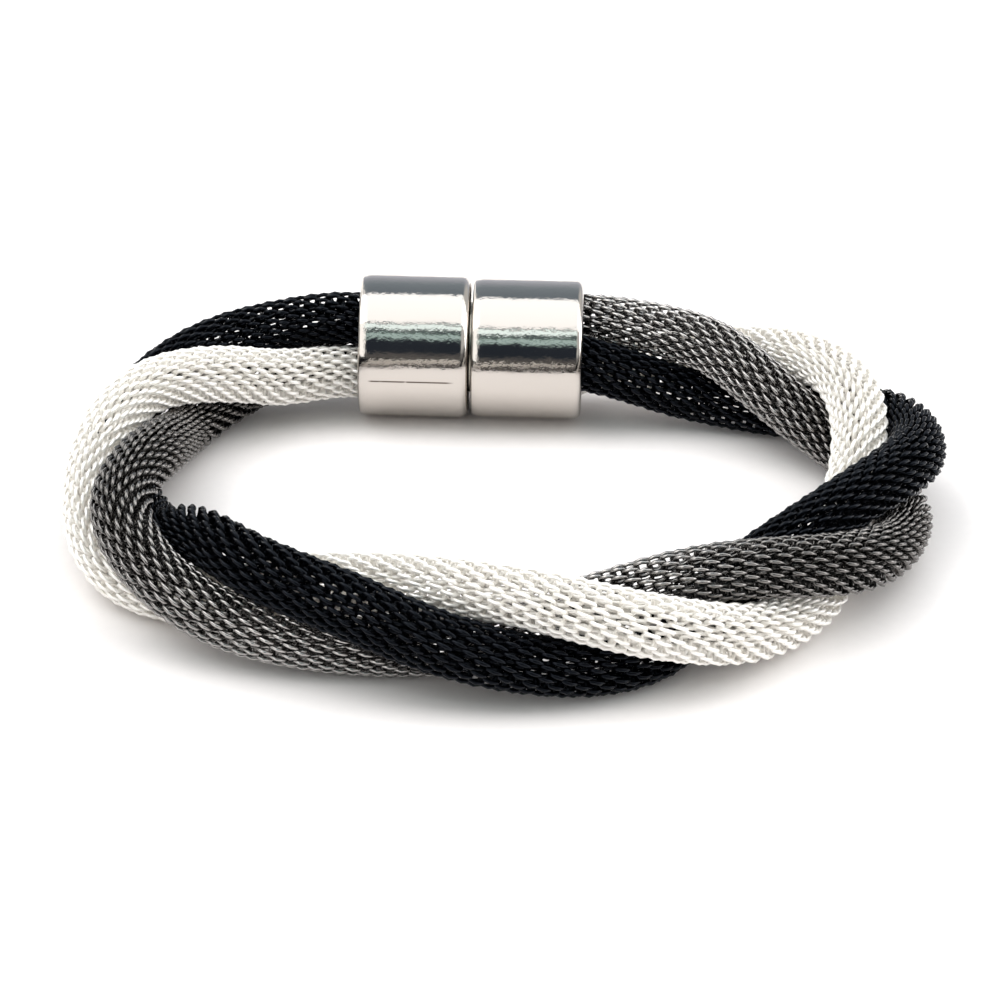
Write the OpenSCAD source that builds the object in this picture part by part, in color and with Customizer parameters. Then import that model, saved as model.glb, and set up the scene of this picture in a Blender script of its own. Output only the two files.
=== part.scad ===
// Mesh bracelet, closed and lying on a flat surface. Three hollow tubes of linked wire coils are
// twisted round one another, and their ends are glued into a cylindrical magnetic clasp.
// Millimetres, +Z up, the surface at z = 0. The clasp lies at the back (+Y), along X.

/* [Loop] */
// Width of the loop along X, from middle to middle of the twisted tubes
loop_width = 72; // [66:1:90]
// Depth of the loop along Y, from middle to middle of the twisted tubes
loop_depth = 54; // [50:1:76]
// Degrees that the tubes turn round one another between the two clasp halves
twist_angle = 1000; // [700:10:1200]
// Degrees that they turn inside each half
inside_angle = 35; // [0:5:60]
// Angle of the silver tube where it leaves the left half, 0 towards the wrist and 90 on top
start_angle = -40; // [-60:5:0]

/* [Tubes] */
// Width of a tube, side to side against its neighbours
tube_width = 5.6; // [4.8:0.1:6.4]
// Thickness of a tube, from the middle of the rope outwards
tube_depth = 5.3; // [4.4:0.1:6]
// Thickness of the wall that the linked coils make
tube_wall = 0.9; // [0.5:0.1:1.4]
// Space between two neighbouring tubes
tube_gap = 0.12; // [0.08:0.01:0.4]
// Size of a tube squeezed into the clasp, as a share of its free size
squeeze_ratio = 0.96; // [0.85:0.01:1]
// Length over which a tube swells from the clasp to its free size
swell = 12; // [6:1:20]

/* [Clasp] */
// Middle of the closed clasp along X, measured from the middle of the loop
clasp_offset = -4.2; // [-6:0.2:6]
// Length of one clasp half
half_length = 11; // [9:0.5:14]
// Wall of a half around its bore
cup_wall = 1.2; // [0.8:0.1:2]
// Floor between the bore and the magnet's seat
cup_floor = 1; // [0.6:0.1:2]
// Clearance around the tube ends in the bore, filled with glue on the real piece
glue_gap = 0.2; // [0.1:0.05:0.5]
// Space between the tube ends and the floor of the bore
end_gap = 0.5; // [0.3:0.1:1]
// Radius of the rounded rims of a half
rim_radius = 0.6; // [0.3:0.1:0.8]
// Gap between the faces of the closed halves
face_gap = 0.2; // [0.1:0.05:0.4]

/* [Magnets] */
// Diameter of a disc magnet
magnet_diameter = 9; // [6:0.5:10]
// Thickness of a disc magnet
magnet_thickness = 2; // [1:0.1:2.5]
// Clearance between a magnet and its seat
magnet_fit = 0.05; // [0.02:0.01:0.15]
// Gap between the two closed magnets
magnet_gap = 0.06; // [0.04:0.01:0.1]

/* [Hidden] */

// Facets round a tube, and rings along it between two points of the route
sides = 16;
steps = 4;
// How far a cut starts outside the face that it opens
overcut = 1;

// The tubes' sections are ellipses, each in its own third of the rope and half a gap short of the
// planes that part the thirds. s is the size of a section as a share of its free size.
function half_w(s) = s * tube_width / 2;
function half_d(s) = s * tube_depth / 2;
function reach(s) = norm([half_w(s) * cos(30), half_d(s) * sin(30)]);
// Distance from the middle of the rope to the middle of a tube
function spread(s) = (reach(s) + tube_gap / 2) / cos(30);
// Half the thickness of the rope, which is how high its middle runs above the surface
function rope(s) = spread(s) + half_d(s);

bore_radius = rope(squeeze_ratio) + glue_gap;
bore_depth = half_length - magnet_thickness - cup_floor;
clasp_radius = bore_radius + cup_wall;
clasp_y = loop_depth / 2;
mouth = half_length + face_gap / 2;
inside = bore_depth - end_gap;

// The route of the rope from the left half round the left, the front and the right side to the right half:
// [share of half the loop's width, share of half its depth, share of the twist]
route = [
    [-0.74, 0.87, 0.045], [-0.96, 0.48, 0.12], [-0.99, 0, 0.2], [-0.92, -0.48, 0.275],
    [-0.65, -0.78, 0.37], [-0.3, -0.93, 0.43], [0.01, -1, 0.485], [0.35, -0.95, 0.555],
    [0.66, -0.69, 0.64], [0.87, -0.36, 0.705], [1, 0.14, 0.775], [0.92, 0.61, 0.84], [0.57, 0.97, 0.94]
];

// The same points in millimetres and degrees, from mouth to mouth of the clasp
way = concat(
    [[clasp_offset - mouth, clasp_y, start_angle]],
    [for (p = route) [p[0] * loop_width / 2, p[1] * loop_depth / 2, start_angle + p[2] * twist_angle]],
    [[clasp_offset + mouth, clasp_y, start_angle + twist_angle]]
);
last = len(way) - 1;

// A smooth curve through the points, which leaves each mouth along the clasp's axis
function ghost(b, c) = [2 * b[0] - c[0], c[1], 2 * b[2] - c[2]];
function before(i) = i == 0 ? ghost(way[0], way[1]) : way[i - 1];
function after(i) = i == last - 1 ? ghost(way[last], way[last - 1]) : way[i + 2];
function curve(a, b, c, d, t) = b + ((c - a) * t + (2 * a - 5 * b + 4 * c - d) * t * t
    + (3 * b - a - 3 * c + d) * t * t * t) / 2;
function slope(a, b, c, d, t) = ((c - a) + (2 * a - 5 * b + 4 * c - d) * 2 * t
    + (3 * b - a - 3 * c + d) * 3 * t * t) / 2;

// Size of the sections at a point outside the clasp: squeezed at a mouth, free a swell away from it
function ease(t) = t * t * (3 - 2 * t);
function away(p) = min(norm([p[0] - way[0][0], p[1] - clasp_y]), norm([p[0] - way[last][0], p[1] - clasp_y]));
function size(p) = squeeze_ratio + (1 - squeeze_ratio) * ease(min(1, away(p) / swell));
function height(p) = let (e = ease(min(1, away(p) / swell))) (1 - e) * clasp_radius + e * rope(size(p));

// A station of the rope: [its middle, the direction towards the wrist, the angle of the twist, the size]
function station(p, v) = [[p[0], p[1], height(p)], [-v[1], v[0], 0] / norm([v[0], v[1]]), p[2], size(p)];
function bore_station(side, depth) = [
    [clasp_offset + side * (mouth - depth), clasp_y, clasp_radius], [0, -1, 0],
    start_angle + (side < 0 ? 0 : twist_angle) + side * inside_angle * depth / inside,
    squeeze_ratio
];
stations = concat(
    [bore_station(-1, inside), bore_station(-1, inside / 2)],
    [for (i = [0 : last - 1], k = [0 : steps - 1])
        let (a = before(i), b = way[i], c = way[i + 1], d = after(i), t = k / steps)
        station(curve(a, b, c, d, t), slope(a, b, c, d, t))],
    [bore_station(1, 0), bore_station(1, inside / 2), bore_station(1, inside)]
);

// One ring of a tube at a station, where inset is how far it lies inside the tube's outer face
function ring(st, phase, inset) =
    let (f = st[2] + phase, up = [0, 0, 1],
         out = cos(f) * st[1] + sin(f) * up, along = cos(f) * up - sin(f) * st[1],
         w = half_w(st[3]) - inset, h = half_d(st[3]) - inset)
    [for (j = [0 : sides - 1]) let (q = 360 * j / sides)
        st[0] + (spread(st[3]) + sin(q) * h) * out + cos(q) * w * along];
function skin(phase, inset) = [for (st = stations) each ring(st, phase, inset)];

skins = [for (k = [0 : 2]) skin(120 * k, 0)];
corners = concat(skins[0], skins[1], skins[2]);
xs = [for (p = corners) p[0]];
ys = [for (p = corners) p[1]];
// The model stands with the middle of its outline over the origin
middle = [(min(xs) + max(xs)) / 2, (min(ys) + max(max(ys), clasp_y + clasp_radius)) / 2, 0];

module tube(k) {
    rings = len(stations);
    n = rings * sides;
    points = concat(skins[k], skin(120 * k, tube_wall));
    walls = [for (i = [0 : rings - 2], j = [0 : sides - 1])
        let (a = i * sides + j, b = i * sides + (j + 1) % sides, c = a + sides, d = b + sides)
        each [[a, b, d], [a, d, c], [n + b, n + a, n + d], [n + d, n + a, n + c]]];
    ends = [for (j = [0 : sides - 1])
        let (a = j, b = (j + 1) % sides, c = n - sides)
        each [[b, a, n + a], [b, n + a, n + b], [c + a, c + b, n + c + b], [c + a, n + c + b, n + c + a]]];
    translate(-middle) polyhedron(points, concat(walls, ends));
}

// One clasp half, with its mating face at z = 0 and the mouth of its bore at the other end
module cup() {
    core = clasp_radius - rim_radius;
    difference() {
        rotate_extrude($fn = 128) {
            square([core, half_length]);
            translate([0, rim_radius]) square([clasp_radius, half_length - 2 * rim_radius]);
            for (z = [rim_radius, half_length - rim_radius])
                translate([core, z]) circle(rim_radius, $fn = 48);
        }
        translate([0, 0, half_length - bore_depth])
            cylinder(h = bore_depth + overcut, r = bore_radius, $fn = 128);
        translate([0, 0, -overcut]) cylinder(
            h = overcut + magnet_thickness + magnet_fit, d = magnet_diameter + 2 * magnet_fit, $fn = 96);
    }
}

module magnet() {
    translate([0, 0, (magnet_gap - face_gap) / 2])
        cylinder(h = magnet_thickness, d = magnet_diameter, $fn = 96);
}

// Puts a piece of one half in its place, side -1 for the left half and 1 for the right one
module on_clasp(side) {
    translate([clasp_offset + side * face_gap / 2, clasp_y, clasp_radius] - middle)
        rotate([0, side * 90, 0]) children();
}

module clasp_left() { color([0.86, 0.86, 0.85]) on_clasp(-1) cup(); }
module clasp_right() { color([0.86, 0.86, 0.85]) on_clasp(1) cup(); }
module magnet_left() { color([0.5, 0.5, 0.5]) on_clasp(-1) magnet(); }
module magnet_right() { color([0.5, 0.5, 0.5]) on_clasp(1) magnet(); }
module silver_tube() { color([0.9, 0.89, 0.87]) tube(0); }
module black_tube() { color([0.06, 0.06, 0.07]) tube(1); }
module grey_tube() { color([0.3, 0.29, 0.28]) tube(2); }

clasp_left();
clasp_right();
magnet_left();
magnet_right();
silver_tube();
black_tube();
grey_tube();
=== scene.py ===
# %% [markdown]
# # A mesh bracelet
# The real bracelet is three hollow tubes of linked wire coils, one silver, one black and one gunmetal
# grey, twisted into a rope and glued into a polished magnetic clasp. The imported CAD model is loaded
# first as a fixed frame: it says where every solid lies, and the pieces made here take their place.

# %% Load the frame
import math
import bmesh
import bpy
import numpy as np
from mathutils import Matrix, Vector


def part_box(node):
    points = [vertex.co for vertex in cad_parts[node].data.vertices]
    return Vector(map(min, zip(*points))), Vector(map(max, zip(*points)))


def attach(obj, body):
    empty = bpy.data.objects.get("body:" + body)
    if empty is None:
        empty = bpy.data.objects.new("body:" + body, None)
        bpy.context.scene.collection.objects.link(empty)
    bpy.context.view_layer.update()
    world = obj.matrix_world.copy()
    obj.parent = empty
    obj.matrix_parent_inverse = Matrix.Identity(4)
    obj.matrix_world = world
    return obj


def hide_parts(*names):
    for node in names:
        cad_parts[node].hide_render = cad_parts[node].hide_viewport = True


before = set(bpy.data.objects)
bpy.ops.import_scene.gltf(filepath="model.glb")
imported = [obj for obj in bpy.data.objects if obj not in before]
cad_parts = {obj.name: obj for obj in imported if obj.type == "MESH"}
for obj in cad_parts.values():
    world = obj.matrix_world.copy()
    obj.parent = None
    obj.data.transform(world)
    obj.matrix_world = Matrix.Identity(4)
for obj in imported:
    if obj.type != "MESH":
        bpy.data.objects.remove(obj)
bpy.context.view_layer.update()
MM = 0.001

# %% [markdown]
# ## The camera
# A small thing photographed from a low angle needs its camera placed before anything else, because
# every later comparison depends on it. The focal length is given in pixels of the square photograph,
# as a camera fit measures it, and Blender wants it in millimetres of a 36 mm sensor. The camera looks
# along +Y and down by 28 degrees. It stood one degree to the right of the middle, and it was held one
# degree off level.

# %% Camera
photo_side = 1000
focal_pixels = 3318.5
camera_distance = 320 * MM
camera_height_angle = math.radians(28)
camera_roll = math.radians(1)
camera_turn = math.radians(1)
look_at = Vector((-0.85, 6.98, 0)) * MM

camera = bpy.data.objects.new("camera", bpy.data.cameras.new("camera"))
bpy.context.scene.collection.objects.link(camera)
bpy.context.scene.camera = camera
camera.data.sensor_width = 36
camera.data.lens = focal_pixels / photo_side * camera.data.sensor_width
camera.data.clip_start = 10 * MM
backwards = Vector((0, -math.cos(camera_height_angle), math.sin(camera_height_angle)))
upwards = Vector((0, math.sin(camera_height_angle), math.cos(camera_height_angle)))
level = Matrix((Vector((1, 0, 0)), upwards, backwards)).transposed()
aside = Matrix.Rotation(camera_turn, 3, "Z")
held = aside @ level @ Matrix.Rotation(camera_roll, 3, "Z")
camera_place = look_at + aside @ backwards * camera_distance
camera.matrix_world = Matrix.Translation(camera_place) @ held.to_4x4()
print("lens:", round(camera.data.lens, 2), "mm")

# %% [markdown]
# ## Colours, nodes and pattern sizes
# Colours are picked as sRGB hex values, which is how a screen shows them, but a shader works with
# linear light. One function turns the one into the other. A second one adds a node, sets its
# properties and inputs, and links the inputs that are given another node's output. A noise texture
# has a scale that counts its blobs in a metre, so a third one works that out from the size of a blob.

# %% Helpers for materials
def colour(code):
    parts = [int(code[i:i + 2], 16) / 255 for i in (0, 2, 4)]
    return [p / 12.92 if p <= 0.04045 else ((p + 0.055) / 1.055) ** 2.4 for p in parts] + [1]


def add(tree, kind, inputs=None, **settings):
    node = tree.nodes.new("ShaderNode" + kind)
    for name, value in settings.items():
        setattr(node, name, value)
    for name, value in (inputs or {}).items():
        if isinstance(value, bpy.types.NodeSocket):
            tree.links.new(value, node.inputs[name])
        else:
            node.inputs[name].default_value = value
    return node


def new_material(name):
    material = bpy.data.materials.new(name)
    material.use_nodes = True
    material.node_tree.nodes.clear()
    return material, material.node_tree


def in_a_metre(millimetres):
    return 1 / (millimetres * MM)


print("linear mid grey:", round(colour("808080")[0], 3), "and 1 mm blobs in a metre:", in_a_metre(1))

# %% [markdown]
# ## The light tent
# The bracelet lies on plain white in a small light tent. Polished metal shows its surroundings, so the
# tent's shape matters more than its strength. A point light would give a thin line along the clasp. A
# wide soft roof gives the broad white band that is seen there, and a wall at the right fills the
# shadows and brightens the rounded rims. A panel's power is worked out from its brightness and its
# area, so that its size can be changed without changing how bright it looks.

# %% Roof and wall of the tent
brightness = 1.75
tent_height, tent_depth, tent_width = 500 * MM, 514 * MM, 1600 * MM
tent_middle = 24 * MM


def light_panel(name, strength, width, depth, place, turn):
    light = bpy.data.lights.new(name, "AREA")
    light.shape = "RECTANGLE"
    light.size, light.size_y = width, depth
    light.energy = strength * math.pi * width * depth
    hung = bpy.data.objects.new(name, light)
    hung.matrix_world = Matrix.Translation(place) @ Matrix.Rotation(turn, 4, "Y")
    bpy.context.scene.collection.objects.link(hung)
    print(name, round(light.energy, 2), "W")


light_panel("roof", brightness, tent_width, tent_depth, (0, tent_middle, tent_height), 0)
wall_place = (tent_width / 2, tent_middle, tent_height / 2)
light_panel("right_wall", 2.0 * brightness, tent_height, tent_depth, wall_place, math.pi / 2)

# %% [markdown]
# ## The room round the tent
# Between the roof and the table the clasp shows the room: a dark band, pale green streaks of what hangs
# in front of the tent, and blue grey behind it. A world shader can hold all of it without any objects.
# The bands are written as colours by their height, from the horizon in front of the bracelet (0 degrees)
# over the top (90) to the horizon behind it (180). The tent's cloth closes the room off at both sides,
# and at the left it is bright near the bands and dimmer further round. What the camera itself sees past
# the floor is plain white.

# %% Bands of the room
room = [
    (0, "4a4948"), (10, "4a4948"), (14, "1f242b"), (34, "1f242b"), (38.5, "9ab0ad"), (42, "9ab0ad"),
    (45, "3f4a4b"), (50, "3f4a4b"), (53, "e4f4f4"), (59, "e4f4f4"), (60.5, "2e3436"), (62, "2e3436"),
    (115, "5a636b"), (145, "6c757c"), (180, "9c9ea6"),
]
world = bpy.data.worlds.new("studio")
bpy.context.scene.world = world
world.use_nodes = True
tree = world.node_tree
tree.nodes.clear()
looking = add(tree, "TexCoord")
direction = add(tree, "SeparateXYZ", {0: looking.outputs["Generated"]})
ahead = add(tree, "Math", {0: direction.outputs["Y"], 1: -1.0}, operation="MULTIPLY")
rise = add(tree, "Math", {0: direction.outputs["Z"], 1: ahead.outputs[0]}, operation="ARCTAN2")
share = add(tree, "Math", {0: rise.outputs[0], 1: math.pi}, operation="DIVIDE")
bands = add(tree, "ValToRGB", {0: share.outputs[0]})
stops = bands.color_ramp.elements
for i, (degrees, code) in enumerate(room):
    stop = stops[0] if i == 0 else stops[-1] if i == len(room) - 1 else stops.new(degrees / 180)
    stop.position = degrees / 180
    stop.color = colour(code)
print("bands of the room:", len(stops))

# %% Cloth at both sides, and white past the floor
# Where a cloth begins and where it is full, as the X of the direction that is looked in, and its colour
left_cloth, left_end, right_cloth = (-0.25, -0.35, "f4f4f2"), (-0.6, -0.7, "8e8e8c"), (0.25, 0.45, "a4a4a2")
room_light, floor_white = 2.0, 1.1
left = bands.outputs[0]
for begins, full, code in (left_cloth, left_end):
    to_left = add(tree, "MapRange", {0: direction.outputs["X"], 1: begins, 2: full})
    left = add(tree, "Mix", {0: to_left.outputs[0], 6: left, 7: colour(code)}, data_type="RGBA").outputs[2]
to_right = add(tree, "MapRange", {
    0: direction.outputs["X"], 1: right_cloth[0], 2: right_cloth[1]})
above_table = add(tree, "MapRange", {0: direction.outputs["Z"], 1: 0.1, 2: 0.3})
right = add(tree, "Math", {0: to_right.outputs[0], 1: above_table.outputs[0]}, operation="MULTIPLY")
walls = add(tree, "Mix", {0: right.outputs[0], 6: left, 7: colour(right_cloth[2])}, data_type="RGBA")
reflected = add(tree, "Background", {0: walls.outputs[2], 1: room_light})
seen = add(tree, "Background", {0: colour("ffffff"), 1: floor_white})
ray = add(tree, "LightPath")
studio = add(tree, "MixShader", {
    0: ray.outputs["Is Camera Ray"], 1: reflected.outputs[0], 2: seen.outputs[0]})
add(tree, "OutputWorld", {0: studio.outputs[0]})
bpy.context.scene.view_settings.view_transform = "Standard"
print("nodes of the studio:", len(tree.nodes))

# %% [markdown]
# ## The floor
# A product photographer lays such a thing on matt white board. Paper has a fine tooth that keeps it from
# looking like a lamp, so the colour moves a very little from one fibre clump to the next. It is a little
# warmer than pure white, which shows only where the bracelet's shadow falls on it. The board is wide
# enough for its edge to stay out of every view. It is not part of the bracelet.

# %% Matt white board
floor_radius = 700 * MM
fibre_clump = 1.1
shape = bmesh.new()
bmesh.ops.create_circle(shape, cap_ends=True, segments=96, radius=floor_radius)
floor = bpy.data.objects.new("floor", bpy.data.meshes.new("floor"))
shape.to_mesh(floor.data)
shape.free()
bpy.context.scene.collection.objects.link(floor)
paper, tree = new_material("matt white board")
where = add(tree, "TexCoord")
tooth = add(tree, "TexNoise", {
    "Vector": where.outputs["Object"], "Scale": in_a_metre(fibre_clump), "Detail": 3})
tone = add(tree, "Mix", {0: tooth.outputs[0], 6: colour("f8f4f3"), 7: colour("fdf9f8")}, data_type="RGBA")
board = add(tree, "BsdfPrincipled", {"Base Color": tone.outputs[2], "Roughness": 0.9})
add(tree, "OutputMaterial", {0: board.outputs[0]})
floor.data.materials.append(paper)
print("floor:", floor_radius / MM, "mm in radius")

# %% [markdown]
# ## The rope's route
# The wire tubes have to lie exactly where their solids lie, so the route is repeated from the part's
# source with the same named sizes: a smooth curve through thirteen points from one half of the clasp
# round to the other, on which three tubes turn round one another. The points weren't chosen by hand: a
# search that matched the tubes' outlines to the photo found them, and they were then rounded.

# %% Sizes of the rope and the clasp, in millimetres and degrees
loop_width, loop_depth = 72, 54
twist_angle, inside_angle, start_angle = 1000, 35, -40
tube_width, tube_depth, tube_gap = 5.6, 5.3, 0.12
squeeze_ratio, swell = 0.96, 12
clasp_offset, half_length = -4.2, 11
cup_wall, cup_floor, glue_gap, end_gap, rim_radius, face_gap = 1.2, 1, 0.2, 0.5, 0.6, 0.2
magnet_diameter, magnet_thickness, magnet_fit = 9, 2, 0.05
# Share of half the loop's width, share of half its depth, share of the twist
route = [
    [-0.74, 0.87, 0.045], [-0.96, 0.48, 0.12], [-0.99, 0, 0.2], [-0.92, -0.48, 0.275],
    [-0.65, -0.78, 0.37], [-0.3, -0.93, 0.43], [0.01, -1, 0.485], [0.35, -0.95, 0.555],
    [0.66, -0.69, 0.64], [0.87, -0.36, 0.705], [1, 0.14, 0.775], [0.92, 0.61, 0.84], [0.57, 0.97, 0.94],
]
print("points of the route:", len(route))

# %% [markdown]
# ## How thick the rope is
# Each tube is an ellipse in its own third of the rope. Two of them touch where they meet the plane that
# parts the thirds, so the distance from the middle of the rope to the middle of a tube follows from how
# far an ellipse reaches towards that plane. Near the clasp the tubes are squeezed a little.

# %% Sizes that follow
def half_width(size):
    return size * tube_width / 2


def half_depth(size):
    return size * tube_depth / 2


def spread(size):
    lean = math.radians(30)
    reach = np.hypot(half_width(size) * math.cos(lean), half_depth(size) * math.sin(lean))
    return (reach + tube_gap / 2) / math.cos(lean)


def rope(size):
    return spread(size) + half_depth(size)


bore_radius = rope(squeeze_ratio) + glue_gap
bore_depth = half_length - magnet_thickness - cup_floor
clasp_radius = bore_radius + cup_wall
clasp_y = loop_depth / 2
mouth = half_length + face_gap / 2
inside = bore_depth - end_gap
left_low, left_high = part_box("clasp_left")
middle = np.array([
    clasp_offset - mouth - left_low.x / MM,
    clasp_y - (left_low.y + left_high.y) / 2 / MM,
    0,
])
print("clasp radius:", round(clasp_radius, 3), "mm, middle:", np.round(middle, 3))

# %% [markdown]
# ## The path of the rope
# A Catmull-Rom curve runs through all its points, which suits a route that is only known at them. Its
# slope comes with it, and a quarter turn of the slope points to the wrist. The rope rises from the
# floor to the clasp's middle over the last millimetres, and both ends run on straight into the bores.

# %% Path between the mouths of the clasp
fine = 60
way = np.array(
    [[clasp_offset - mouth, clasp_y, start_angle]]
    + [[x * loop_width / 2, y * loop_depth / 2, start_angle + share * twist_angle] for x, y, share in route]
    + [[clasp_offset + mouth, clasp_y, start_angle + twist_angle]]
)


def ghost(end, beyond):
    return [2 * end[0] - beyond[0], beyond[1], 2 * end[2] - beyond[2]]


posts = np.vstack([ghost(way[0], way[1]), way, ghost(way[-1], way[-2])])
path, heading = [], []
for a, b, c, d in zip(posts, posts[1:], posts[2:], posts[3:]):
    t = np.arange(fine)[:, None] / fine
    second, third = 2 * a - 5 * b + 4 * c - d, 3 * b - a - 3 * c + d
    path.append(b + ((c - a) * t + second * t * t + third * t ** 3) / 2)
    heading.append(((c - a) + 2 * second * t + 3 * third * t * t) / 2)
path = np.vstack(path + [way[-1:]])
heading = np.vstack(heading + [[[-1, 0, 0]]])
print("points on the path:", len(path))

# %% Middle line of the rope, from the bottom of one bore to the other
away = np.minimum(*[np.hypot(path[:, 0] - way[i, 0], path[:, 1] - way[i, 1]) for i in (0, -1)])
near = np.clip(away / swell, 0, 1)
ease = near * near * (3 - 2 * near)
size = squeeze_ratio + (1 - squeeze_ratio) * ease
lift = (1 - ease) * clasp_radius + ease * rope(size)
inward = np.stack([-heading[:, 1], heading[:, 0], 0 * size], 1)
inward /= np.linalg.norm(inward, axis=1)[:, None]
core = np.stack([path[:, 0], path[:, 1], lift], 1)

deep = np.linspace(inside, 0, fine, endpoint=False)
ones = np.ones(fine)
left_bore = np.stack([clasp_offset - mouth + deep, clasp_y * ones, clasp_radius * ones], 1)
right_bore = np.stack([clasp_offset + mouth - deep, clasp_y * ones, clasp_radius * ones], 1)
core = np.vstack([left_bore, core, right_bore[::-1]]) - middle
straight = np.tile([0, -1, 0], (fine, 1))
inward = np.vstack([straight, inward, straight])
turn = np.hstack([
    start_angle - inside_angle * deep / inside,
    path[:, 2],
    (start_angle + twist_angle + inside_angle * deep / inside)[::-1],
])
size = np.hstack([squeeze_ratio * ones, size, squeeze_ratio * ones])
rope_length = np.linalg.norm(np.diff(core, axis=0), axis=1).sum()
print("rope:", round(rope_length, 1), "mm from end to end")

# %% [markdown]
# ## One loop of wire, copied flat
# A mesh tube is knitted from rings of coiled wire, and each ring's loops hook into its neighbours'.
# Modelling each loop by hand is hopeless, and a picture of a mesh on a plain tube looks flat at its
# edges. So one loop of the coil is made as a helix with the spin operator, and its corners are pushed
# outwards and sideways until it is a flattened S that lies nearly along the tube. It is copied round a
# ring and along the tube with Array modifiers while everything is still flat. Every second ring is
# shifted by half a loop, which is what locks the rings together.

# %% Sizes of the wire mesh, in millimetres
wire, enamel = 0.36, 0.02
ring_pitch = 1.05
loops_round = 14
# A loop reaches almost one wire past its neighbours' at both sides
coil_width = ring_pitch + 1.8 * wire
coil_height = 1.5
# Points in a loop, sideways hook and outward push of its corners
loop_steps = 8
hook = 0.3
corner = 0.12
print("one loop:", round(coil_width, 2), "mm wide,", round(coil_height, 2), "mm high")


# %% Flat rings
def coils(name, pairs):
    """Flat rings of wire: x counts the rings, y counts the loops round them and z is the height."""
    shape = bmesh.new()
    start = shape.verts.new(((coil_width - wire) / 2 / ring_pitch, 0, 0))
    bmesh.ops.spin(
        shape, geom=[start], cent=(0, 0, 0), axis=(0, -1, 0), dvec=(0, 1 / loop_steps, 0),
        angle=math.tau, steps=loop_steps)
    flatten = (coil_height - wire) / (coil_width - wire) * ring_pitch
    for v in shape.verts:
        diagonal = math.sin(2 * math.tau * v.co.y)
        square = 1 + corner * abs(diagonal)
        v.co = (v.co.x * square, v.co.y + hook / math.tau * diagonal, v.co.z * square * flatten)
    piece = bpy.data.objects.new(name, bpy.data.meshes.new(name))
    shape.to_mesh(piece.data)
    shape.free()
    bpy.context.scene.collection.objects.link(piece)
    bpy.context.view_layer.objects.active = piece
    for offset, count in (((0, 1, 0), loops_round), ((1, 0.5, 0), 2), ((2, 0, 0), pairs)):
        copies = piece.modifiers.new("copies", "ARRAY")
        copies.use_relative_offset = False
        copies.use_constant_offset = True
        copies.constant_offset_displace = offset
        copies.count = count
        copies.use_merge_vertices = offset == (0, 1, 0)
        copies.merge_threshold = 0.001
        bpy.ops.object.modifier_apply(modifier=copies.name)
    return piece


points_of_a_ring = loops_round * loop_steps + 1
print("points of a ring:", points_of_a_ring)

# %% [markdown]
# ## From flat rings to tubes
# Each point of the flat mesh knows its ring and its place round it. The ring number is turned into a
# length along the tube, closer together at the inside of a bend as real rings are, and the place round
# the ring into an angle. The real tubes were laid round one another without being wrung, so the rows of
# loops keep straight along the tube: what the frame turns is taken off the angle again.

# %% Middle line and directions of one tube
up = np.array([0, 0, 1])


def tube_route(phase):
    """The middle of one tube, its directions, its half sizes, its length so far and its turning."""
    f = np.radians(turn + phase)[:, None]
    out = np.cos(f) * inward + np.sin(f) * up
    along = np.cos(f) * up - np.sin(f) * inward
    centre = core + spread(size)[:, None] * out
    run = np.r_[0, np.cumsum(np.linalg.norm(np.diff(centre, axis=0), axis=1))]
    ahead = np.gradient(centre, run, axis=0)
    ahead /= np.linalg.norm(ahead, axis=1)[:, None]
    out = out - (out * ahead).sum(1)[:, None] * ahead
    out /= np.linalg.norm(out, axis=1)[:, None]
    side = np.cross(ahead, out)
    side *= np.sign((side * along).sum(1))[:, None]
    turned = np.r_[0, np.cumsum((out[1:] * side[:-1]).sum(1))]
    tall = half_depth(size)
    wide = half_width(size) * (side * along).sum(1)
    return centre, out, side, tall, wide, run, turned


print("silver tube:", round(tube_route(0)[5][-1], 1), "mm long")

# %% [markdown]
# ## Uneven rings
# No two rings of real mesh lie quite alike, and a perfect grid is the first thing that gives a model
# away. Each ring is moved a little along and round the tube, always by the same seeded chance. The soft
# tubes also bulge against one another where they touch, by a quarter of a millimetre.

# %% Roll up and bend
unevenness = 0.04
bulge = 0.25


def roll_up(piece, first, step, margin, tube, chance):
    """Rolls a flat piece up and bends it on to its tube, from the ring with the number first."""
    centre, out, side, tall, wide, run, turned = tube
    co = np.zeros(len(piece.data.vertices) * 3)
    piece.data.vertices.foreach_get("co", co)
    x, y, z = co.reshape(-1, 3).T
    ring = np.arange(len(x)) // points_of_a_ring
    x = x + chance.normal(0, unevenness, ring[-1] + 1)[ring]
    y = y + chance.normal(0, unevenness, ring[-1] + 1)[ring]
    at = np.clip(margin + (first + x) * step, 0, run[-1])
    angle = y / loops_round * math.tau + np.interp(at, run, turned)
    here = [np.stack([np.interp(at, run, v[:, i]) for i in range(3)], 1) for v in (centre, out, side)]
    inset = z - coil_height / 2
    up_by = np.sin(angle) * (np.interp(at, run, tall) + inset)
    out_by = np.cos(angle) * (np.interp(at, run, wide) + bulge + inset)
    points = here[0] + up_by[:, None] * here[1] + out_by[:, None] * here[2]
    piece.data.vertices.foreach_set("co", (points * MM).astype(np.float32).ravel())


print("rings are moved by about", unevenness, "of a ring's pitch")

# %% [markdown]
# ## Thick wire
# The bent lines have no thickness yet. Skinning each loop by hand would be slow, but a curve object can
# give a line a round section by itself. The lines become a curve with a bevel of six sides, which is
# enough for wire a third of a millimetre thick, and the curve becomes a mesh again.

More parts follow.
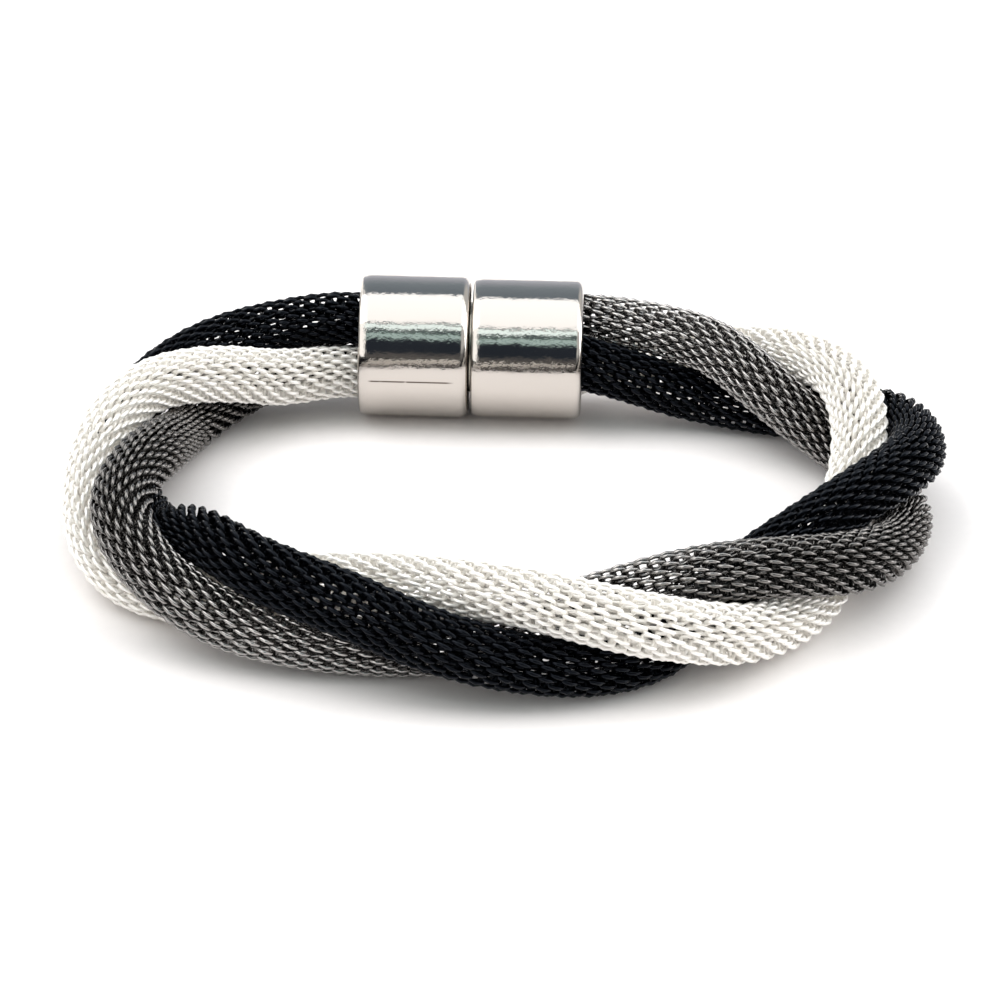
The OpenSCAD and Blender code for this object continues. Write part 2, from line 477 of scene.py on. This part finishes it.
# %% Give the wire its thickness
def thicken(piece, thickness):
    shape = bmesh.new()
    shape.from_mesh(piece.data)
    bmesh.ops.remove_doubles(shape, verts=shape.verts, dist=0.01 * MM)
    shape.to_mesh(piece.data)
    shape.free()
    bpy.ops.object.select_all(action="DESELECT")
    piece.select_set(True)
    bpy.context.view_layer.objects.active = piece
    bpy.ops.object.convert(target="CURVE")
    piece = bpy.context.view_layer.objects.active
    piece.data.bevel_depth = thickness / 2 * MM
    piece.data.bevel_resolution = 1
    bpy.ops.object.convert(target="MESH")
    piece = bpy.context.view_layer.objects.active
    piece.data.polygons.foreach_set("use_smooth", [True] * len(piece.data.polygons))
    triangles = sum(len(p.vertices) - 2 for p in piece.data.polygons)
    print(piece.name, triangles, "triangles")
    return piece


# %% [markdown]
# ## The three tubes
# A whole tube would be a very heavy mesh, so each is made as two pieces that meet between two rings.
# They take the place of the tube's solid, which stays in the physics model. The black wire is the
# thickest, because its enamel lies on the bare wire at both sides.

# %% Mesh tubes
def mesh_tube(name, phase, thickness=wire):
    tube = tube_route(phase)
    length = tube[5][-1]
    margin = coil_width / 2 + 0.05
    pairs = int((length - 2 * margin) / ring_pitch + 1) // 2
    step = (length - 2 * margin) / (2 * pairs - 1)
    chance = np.random.default_rng(phase)
    pieces = []
    for half, first, count in (("start", 0, pairs // 2), ("end", pairs // 2, pairs - pairs // 2)):
        piece = coils(name + "_" + half, count)
        roll_up(piece, 2 * first, step, margin, tube, chance)
        pieces.append(thicken(piece, thickness))
    print(name, 2 * pairs, "rings,", round(step, 3), "mm apart, over", round(length, 1), "mm")
    return pieces


tubes = {
    "silver_tube": mesh_tube("silver_mesh", 0),
    "black_tube": mesh_tube("black_mesh", 120, wire + 2 * enamel),
    "grey_tube": mesh_tube("grey_mesh", 240),
}
for node_name, pieces in tubes.items():
    for piece in pieces:
        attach(piece, "root")
        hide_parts(node_name)

# %% [markdown]
# ## Silver-plated wire
# Silver straight from the plating bath is nearly white and a little matt, because its surface is a crust
# of tiny crystals that the wire drawing never smoothed. The eye gets a soft white with a thin gloss on
# each loop. A pure metal shader came out too dark between the loops, where real light bounces many more
# times than a render follows, so most of the white is given as scattered light and the rest as metal.
# The tone drifts over a few loops, and fine marks make each loop's gloss a little different. Real
# crystals are far too small to show, so the marks are drawn half a wire wide.

# %% Silver wire's finish
tone_drift = 2.9
wire_marks = 0.17
mark_depth = 0.05
silver, tree = new_material("silver-plated copper wire")
where = add(tree, "TexCoord")
drift = add(tree, "TexNoise", {
    "Vector": where.outputs["Object"], "Scale": in_a_metre(tone_drift), "Detail": 2})
tone = add(tree, "Mix", {0: drift.outputs[0], 6: colour("fefcf9"), 7: colour("faf6ef")}, data_type="RGBA")
marks = add(tree, "TexNoise", {
    "Vector": where.outputs["Object"], "Scale": in_a_metre(wire_marks), "Detail": 3})
rough = add(tree, "MapRange", {0: marks.outputs[0], 3: 0.25, 4: 0.45})
bumps = add(tree, "Bump", {"Strength": 0.15, "Distance": mark_depth * MM, "Height": marks.outputs[0]})
plated = add(tree, "BsdfPrincipled", {
    "Base Color": tone.outputs[2], "Metallic": 0.3, "Roughness": rough.outputs[0],
    "Normal": bumps.outputs[0]})
add(tree, "OutputMaterial", {0: plated.outputs[0]})
print("silver wire: marks of", wire_marks, "mm on wire of", wire, "mm")

# %% [markdown]
# ## Black enamelled wire
# The black wire is copper under a thin baked enamel. It is not a metal to the eye but a dark glossy
# skin: nearly black, with a faint cold line of the roof along each loop. The enamel is thinner than a
# normal varnish and full of pigment, so it mirrors less, and its specular level lies well below the
# usual one.

# %% Black wire's finish
black, tree = new_material("black enamelled wire")
where = add(tree, "TexCoord")
drift = add(tree, "TexNoise", {
    "Vector": where.outputs["Object"], "Scale": in_a_metre(tone_drift), "Detail": 2})
tone = add(tree, "Mix", {0: drift.outputs[0], 6: colour("010103"), 7: colour("030407")}, data_type="RGBA")
marks = add(tree, "TexNoise", {
    "Vector": where.outputs["Object"], "Scale": in_a_metre(wire_marks), "Detail": 3})
rough = add(tree, "MapRange", {0: marks.outputs[0], 3: 0.1, 4: 0.22})
bumps = add(tree, "Bump", {"Strength": 0.15, "Distance": mark_depth * MM, "Height": marks.outputs[0]})
enamelled = add(tree, "BsdfPrincipled", {
    "Base Color": tone.outputs[2], "Roughness": rough.outputs[0], "Specular IOR Level": 0.15,
    "Specular Tint": colour("dbe9ff"), "Normal": bumps.outputs[0]})
add(tree, "OutputMaterial", {0: enamelled.outputs[0]})
print("black wire: tone drifts over", tone_drift, "mm")

# %% [markdown]
# ## Gunmetal-plated wire
# Gunmetal grey is a black nickel plating, a warm bright grey where the loops stand out. Down between
# them the colour is darkened to near black as painted shade, so the eye sees bright strokes on near black.
# Painting that by hand over thousands of loops is out of the question. The Ambient Occlusion node finds
# it: it tells how open each point is within half a millimetre, and that mixes the dark painted shade into
# the bright colour. The colour is brightest in a slanting strip from the front left to the back, and the
# bends at both sides of the strip are darkened as painted shade. How far a point lies from the strip's
# middle line follows from its own place in X and Y.

# %% Gunmetal wire's finish
# Slant of the strip that is left unshaded, and in mm how far from its middle it ends and where the painted
# shade of the bends is full
lit_strip_slant, lit_strip_half_width, bend_shade_full = -0.3, 12, 32
gunmetal, tree = new_material("gunmetal-plated wire")
where = add(tree, "TexCoord")
drift = add(tree, "TexNoise", {
    "Vector": where.outputs["Object"], "Scale": in_a_metre(tone_drift), "Detail": 2})
drift_and_bend_shade = add(tree, "Mix", {
    0: drift.outputs[0], 6: colour("c4c0be"), 7: colour("a8a6a4")}, data_type="RGBA")
parts = add(tree, "SeparateXYZ", {0: where.outputs["Object"]})
slanting = add(tree, "Math", {
    0: parts.outputs["Y"], 1: lit_strip_slant, 2: parts.outputs["X"]}, operation="MULTIPLY_ADD")
away = add(tree, "Math", {0: slanting.outputs[0]}, operation="ABSOLUTE")
# Painted shade: the bends away from the strip are darkened by their place in X and Y
painted_bend_shade = add(tree, "MapRange", {0: away.outputs[0], 1: lit_strip_half_width * MM, 2: bend_shade_full * MM})
drift_and_bend_shade = add(tree, "Mix", {
    0: painted_bend_shade.outputs[0], 6: drift_and_bend_shade.outputs[2], 7: colour("a7a6a5")}, data_type="RGBA", blend_type="MULTIPLY")
# Painted shade: near black is mixed in where a point is closed in by other loops
openness = add(tree, "AmbientOcclusion", {"Distance": 0.5 * MM}, samples=4, only_local=True)
recess_shade_mix = add(tree, "MapRange", {0: openness.outputs["AO"], 1: 0.6, 2: 1.0})
tone = add(tree, "Mix", {0: recess_shade_mix.outputs[0], 6: colour("0f0f0f"), 7: drift_and_bend_shade.outputs[2]}, data_type="RGBA")
marks = add(tree, "TexNoise", {
    "Vector": where.outputs["Object"], "Scale": in_a_metre(wire_marks), "Detail": 3})
rough = add(tree, "MapRange", {0: marks.outputs[0], 3: 0.1, 4: 0.22})
bumps = add(tree, "Bump", {"Strength": 0.15, "Distance": mark_depth * MM, "Height": marks.outputs[0]})
plated = add(tree, "BsdfPrincipled", {
    "Base Color": tone.outputs[2], "Metallic": 1.0, "Roughness": rough.outputs[0],
    "Normal": bumps.outputs[0]})
add(tree, "OutputMaterial", {0: plated.outputs[0]})

finishes = {
    "silver_tube": (silver, "silver_wire"),
    "black_tube": (black, "black_wire"),
    "grey_tube": (gunmetal, "gunmetal_wire"),
}
for node_name, (material, slot) in finishes.items():
    for piece in tubes[node_name]:
        piece.data.materials.append(material)
print("wire finishes:", [material.name for material, slot in finishes.values()])

# %% [markdown]
# ## The clasp
# Each half is a turned and plated cup with a deep bore for the rope and a shallow seat for a magnet. A
# lathe makes it by turning, and the spin operator does the same: the outline is drawn as a line of
# corners, two corners are rounded with a bevel, and the line is spun round the axis. Both halves were
# buffed from the same side, so each has a soft round rim at its right end. At its left end a low
# shoulder falls off to a crisp rim, and that shoulder catches the tent's wall as a bright stripe. Neither
# half is a perfect cylinder. The skin of the right one is pressed in a little from above and below,
# which widens the white band in it, while its bore stays round.

# %% Clasp halves
# The soft rim is rounder on the left half, whose side is -1, than on the right one, whose side is 1
crisp_rim, soft_rims = 0.25, {-1: 1.0, 1: 0.7}
shoulder_length, shoulder_drop = 0.9, 0.16
# Corners this far inside the shoulder and the soft rim keep the shading of the wall flat between them
wall_margin = 0.3
# Share by which the right half's skin is pressed in, and how far from upright that direction leans
out_of_round, press_lean = 0.035, math.radians(17)


def cup(name, side):
    """A clasp half, side -1 for the left one and 1 for the right one."""
    seat_radius, seat_depth = magnet_diameter / 2 + magnet_fit, magnet_thickness + magnet_fit
    soft_rim = soft_rims[side]
    outer = [
        (clasp_radius - shoulder_drop, 0), (clasp_radius, shoulder_length),
        (clasp_radius, shoulder_length + wall_margin), (clasp_radius, half_length - soft_rim - wall_margin),
        (clasp_radius, half_length),
    ]
    if side < 0:
        outer = [(r, half_length - z) for r, z in reversed(outer)]
    corners = [
        (0, seat_depth), (seat_radius, seat_depth), (seat_radius, 0), *outer,
        (bore_radius, half_length), (bore_radius, half_length - bore_depth), (0, half_length - bore_depth),
    ]
    shape = bmesh.new()
    line = [shape.verts.new((r, 0, z)) for r, z in corners]
    for a, b in zip(line, line[1:]):
        shape.edges.new((a, b))
    for rim, radius in zip((line[3], line[7]), (crisp_rim, soft_rim)[::side]):
        bmesh.ops.bevel(
            shape, geom=[rim], offset=radius, offset_type="OFFSET", affect="VERTICES",
            segments=8, profile=0.5, material=-1)
    bmesh.ops.spin(
        shape, geom=shape.verts[:] + shape.edges[:], cent=(0, 0, 0), axis=(0, 0, 1), angle=math.tau,
        steps=128, use_merge=True)
    bmesh.ops.remove_doubles(shape, verts=shape.verts, dist=0.001)
    bmesh.ops.recalc_face_normals(shape, faces=shape.faces)
    if side > 0:
        skin = [v for v in shape.verts if math.hypot(v.co.x, v.co.y) > bore_radius + glue_gap]
        press = Vector((math.cos(press_lean), math.sin(press_lean), 0))
        bmesh.ops.transform(shape, matrix=Matrix.Scale(1 - out_of_round, 4, press), verts=skin)
    low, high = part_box(name)
    face = high.x if side < 0 else low.x
    put = Matrix.Translation((face, (low.y + high.y) / 2, (low.z + high.z) / 2))
    shape.transform(put @ Matrix.Rotation(side * math.pi / 2, 4, "Y") @ Matrix.Scale(MM, 4))
    piece = bpy.data.objects.new(name + "_cup", bpy.data.meshes.new(name + "_cup"))
    shape.to_mesh(piece.data)
    shape.free()
    bpy.context.scene.collection.objects.link(piece)
    piece.data.polygons.foreach_set("use_smooth", [True] * len(piece.data.polygons))
    piece.data.set_sharp_from_angle(angle=math.radians(40))
    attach(piece, "root")
    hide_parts(name)
    print(piece.name, len(piece.data.polygons), "faces")
    return piece


cups = [cup("clasp_left", -1), cup("clasp_right", 1)]

# %% [markdown]
# ## An uneven polish
# The plate was polished by hand over a buff, so it is never quite even, and a perfect cylinder would
# give it away as a computer's. Slow waves make the reflected bands wander, small ripples along the axis
# make their edges ragged, and a fine grain speckles the dark ones. The heights are in micrometres,
# because a polished surface already shows slopes of a degree or two.

# %% Surface of the plate
wave, ripple, grain = (2.5, 40), (0.45, 16), (0.2, 7)
plate, tree = new_material("polished rhodium-plated brass")
where = add(tree, "TexCoord")
waves = add(tree, "TexNoise", {
    "Vector": where.outputs["Object"], "Scale": in_a_metre(wave[0]), "Detail": 1})
ripples = add(tree, "TexNoise", {
    "Vector": where.outputs["Object"], "Scale": in_a_metre(ripple[0]), "Detail": 2})
grains = add(tree, "TexNoise", {
    "Vector": where.outputs["Object"], "Scale": in_a_metre(grain[0]), "Detail": 2})
rough = add(tree, "MapRange", {0: waves.outputs[0], 3: 0.05, 4: 0.13})
bumps = None
for texture, (millimetres, micrometres) in ((waves, wave), (ripples, ripple), (grains, grain)):
    heights = {"Strength": 1.0, "Distance": micrometres * 1e-6, "Height": texture.outputs[0]}
    if bumps:
        heights["Normal"] = bumps.outputs[0]
    bumps = add(tree, "Bump", heights)
print("waves, ripples and grain, wide in mm and high in micrometres:", wave, ripple, grain)

# %% [markdown]
# ## The scratch
# One long scratch runs along the front of the left half, where it was pulled over something hard. It is
# too thin to be worth cutting into the mesh. A mask in the material finds the points that lie within a
# tenth of a millimetre of its height, between its two ends and on the front, and darkens them. Maths
# nodes multiply the conditions, and the ends fade over different lengths, as a scratch does.

# %% Scratched plate
scratch_start, scratch_end, scratch_height, scratch_width = -14.4, -5.8, 6.4, 0.18
parts = add(tree, "SeparateXYZ", {0: where.outputs["Object"]})
above = add(tree, "Math", {0: parts.outputs["Z"], 1: -scratch_height * MM}, operation="ADD")
off = add(tree, "Math", {0: above.outputs[0]}, operation="ABSOLUTE")
line = add(tree, "MapRange", {
    0: off.outputs[0], 1: 0.3 * scratch_width * MM, 2: 0.6 * scratch_width * MM, 3: 1, 4: 0})
begun = add(tree, "MapRange", {
    0: parts.outputs["X"], 1: scratch_start * MM, 2: (scratch_start + 0.4) * MM})
ended = add(tree, "MapRange", {
    0: parts.outputs["X"], 1: (scratch_end - 0.8) * MM, 2: scratch_end * MM, 3: 1, 4: 0})
front = add(tree, "Math", {0: parts.outputs["Y"], 1: (clasp_y - middle[1]) * MM}, operation="LESS_THAN")
pressed = add(tree, "MapRange", {0: ripples.outputs[0], 1: 0.2, 2: 0.4})
scratch = line
for condition in (begun, ended, front, pressed):
    scratch = add(tree, "Math", {0: scratch.outputs[0], 1: condition.outputs[0]}, operation="MULTIPLY")
worn = add(tree, "Mix", {0: scratch.outputs[0], 6: colour("c5bfb9"), 7: colour("5a504a")}, data_type="RGBA")
polished = add(tree, "BsdfPrincipled", {
    "Base Color": worn.outputs[2], "Metallic": 1.0, "Roughness": rough.outputs[0],
    "Normal": bumps.outputs[0]})
add(tree, "OutputMaterial", {0: polished.outputs[0]})
for piece in cups:
    piece.data.materials.append(plate)
print("scratch:", round(scratch_end - scratch_start, 1), "mm long")

# %% [markdown]
# ## The magnets
# Two disc magnets hide between the halves, so little of them is ever seen. They keep their solids from
# the CAD model, which are right as they are, and only get a finish: a barrel-plated nickel, warmer and
# duller than the clasp, with the soft spots that magnets get from knocking against each other.

# %% Nickel-plated magnets
plating_spot = 0.67
nickel, tree = new_material("nickel-plated magnet")
where = add(tree, "TexCoord")
spots = add(tree, "TexNoise", {
    "Vector": where.outputs["Object"], "Scale": in_a_metre(plating_spot), "Detail": 3})
tone = add(tree, "Mix", {0: spots.outputs[0], 6: colour("ccc6ba"), 7: colour("bdb7aa")}, data_type="RGBA")
rough = add(tree, "MapRange", {0: spots.outputs[0], 3: 0.2, 4: 0.35})
barrel_plated = add(tree, "BsdfPrincipled", {
    "Base Color": tone.outputs[2], "Metallic": 1.0, "Roughness": rough.outputs[0]})
add(tree, "OutputMaterial", {0: barrel_plated.outputs[0]})
for name in ("magnet_left", "magnet_right"):
    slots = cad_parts[name].data.materials
    for i in range(len(slots)):
        slots[i] = nickel
    print(name, "material slots:", len(slots))
